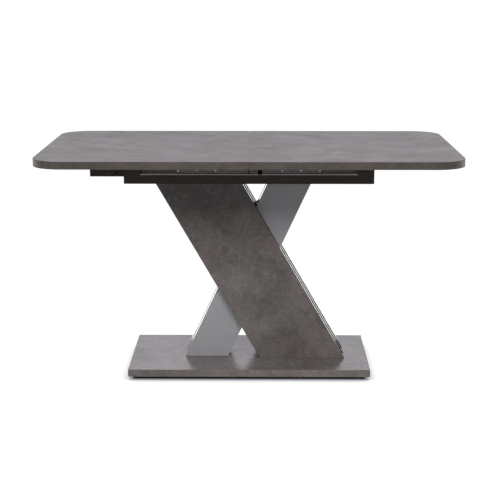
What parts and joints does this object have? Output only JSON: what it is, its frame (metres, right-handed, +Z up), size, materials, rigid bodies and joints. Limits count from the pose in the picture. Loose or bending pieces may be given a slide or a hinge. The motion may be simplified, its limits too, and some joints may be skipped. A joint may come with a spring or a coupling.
{
  "type": "extendable dining table",
  "caption": "Extendable pedestal dining table with crossed slab legs, a flat base board, a split rounded top on sliding rails and a spare leaf stored in the frame.",
  "frame": {"origin": "on the floor, under the middle of the closed top", "axes": "+X along the length of the top, in the direction in which the right half slides out; +Y to the rear; +Z up"},
  "size_m": [1.35, 0.8, 0.754],
  "materials": {
    "concrete_laminate": "satin dark grey concrete-look laminate on board",
    "concrete_edge_band": "satin edge banding in the same concrete look",
    "aluminium_trim": "satin anodised strip",
    "silver_paint": "satin metallic silver foil on board",
    "grey_spacer": "matt grey paint on board",
    "black_board": "matt black-brown paint on board",
    "rail_steel": "zinc-plated folded steel",
    "black_plastic": "matt black moulded plastic",
    "white_nylon": "natural nylon",
    "felt": "dark grey felt strip",
    "beech": "plain beech dowel"
  },
  "bodies": {
    "pedestal_frame": {"base_board": "concrete_laminate", "stone_leg_front_board": "concrete_laminate", "stone_leg_middle_board": "concrete_laminate", "stone_leg_rear_board": "concrete_laminate", "base_edge_band": "concrete_edge_band", "stone_leg_front_trim_left": "aluminium_trim", "stone_leg_front_trim_right": "aluminium_trim", "stone_leg_middle_trim_left": "aluminium_trim", "stone_leg_middle_trim_right": "aluminium_trim", "stone_leg_rear_trim_left": "aluminium_trim", "stone_leg_rear_trim_right": "aluminium_trim", "silver_leg_lower_front_board": "silver_paint", "silver_leg_lower_rear_board": "silver_paint", "silver_leg_upper_front_board": "silver_paint", "silver_leg_upper_rear_board": "silver_paint", "silver_leg_lower_spacer": "grey_spacer", "silver_leg_upper_spacer": "grey_spacer", "stone_leg_front_spacer": "black_board", "stone_leg_rear_spacer": "black_board", "foot_rail_front": "black_board", "foot_rail_rear": "black_board", "foot_rail_left": "black_board", "foot_rail_right": "black_board", "tray_board": "black_board", "apron_front": "black_board", "apron_rear": "black_board", "end_board": "black_board", "rail_front": "rail_steel", "rail_rear": "rail_steel", "sync_bridge": "rail_steel", "pinion_axle": "rail_steel", "rail_stop_front": "black_plastic", "rail_stop_rear": "black_plastic", "leaf_felt_front": "felt", "leaf_felt_rear": "felt"},
    "left_half": {"top_board_left": "concrete_laminate", "top_edge_band_left": "concrete_edge_band", "top_dowel_left_a": "beech", "top_dowel_left_b": "beech", "runner_left_front": "rail_steel", "runner_left_rear": "rail_steel", "rack_left": "white_nylon", "rack_block_left": "black_board"},
    "right_half": {"top_board_right": "concrete_laminate", "top_edge_band_right": "concrete_edge_band", "top_dowel_right_a": "beech", "top_dowel_right_b": "beech", "runner_right_front": "rail_steel", "runner_right_rear": "rail_steel", "rack_right": "white_nylon", "rack_block_right": "black_board"},
    "pinion": {"sync_pinion": "white_nylon"},
    "spare_leaf": {"leaf_board": "concrete_laminate", "leaf_edge_band_left": "concrete_edge_band", "leaf_edge_band_right": "concrete_edge_band"}
  },
  "joints": [
    {"name": "left_slide", "type": "slide", "parent": "pedestal_frame", "child": "left_half", "axis": [-1, 0, 0], "range_m": [0, 0.2]},
    {"name": "right_slide", "type": "slide", "parent": "pedestal_frame", "child": "right_half", "axis": [1, 0, 0], "range_m": [0, 0.2]},
    {"name": "pinion_spin", "type": "hinge", "parent": "pedestal_frame", "child": "pinion", "pos_m": [0, 0, 0.713], "axis": [0, 0, 1], "range_deg": [-1, 479]},
    {"name": "leaf_slide", "type": "slide", "parent": "pedestal_frame", "child": "spare_leaf", "axis": [-1, 0, 0], "range_m": [0, 0.6]}
  ],
  "couplings": [
    {"joint": "right_slide", "follows": "left_slide", "ratio": 1},
    {"joint": "pinion_spin", "follows": "left_slide", "rad_per_m": 41.667}
  ]
}
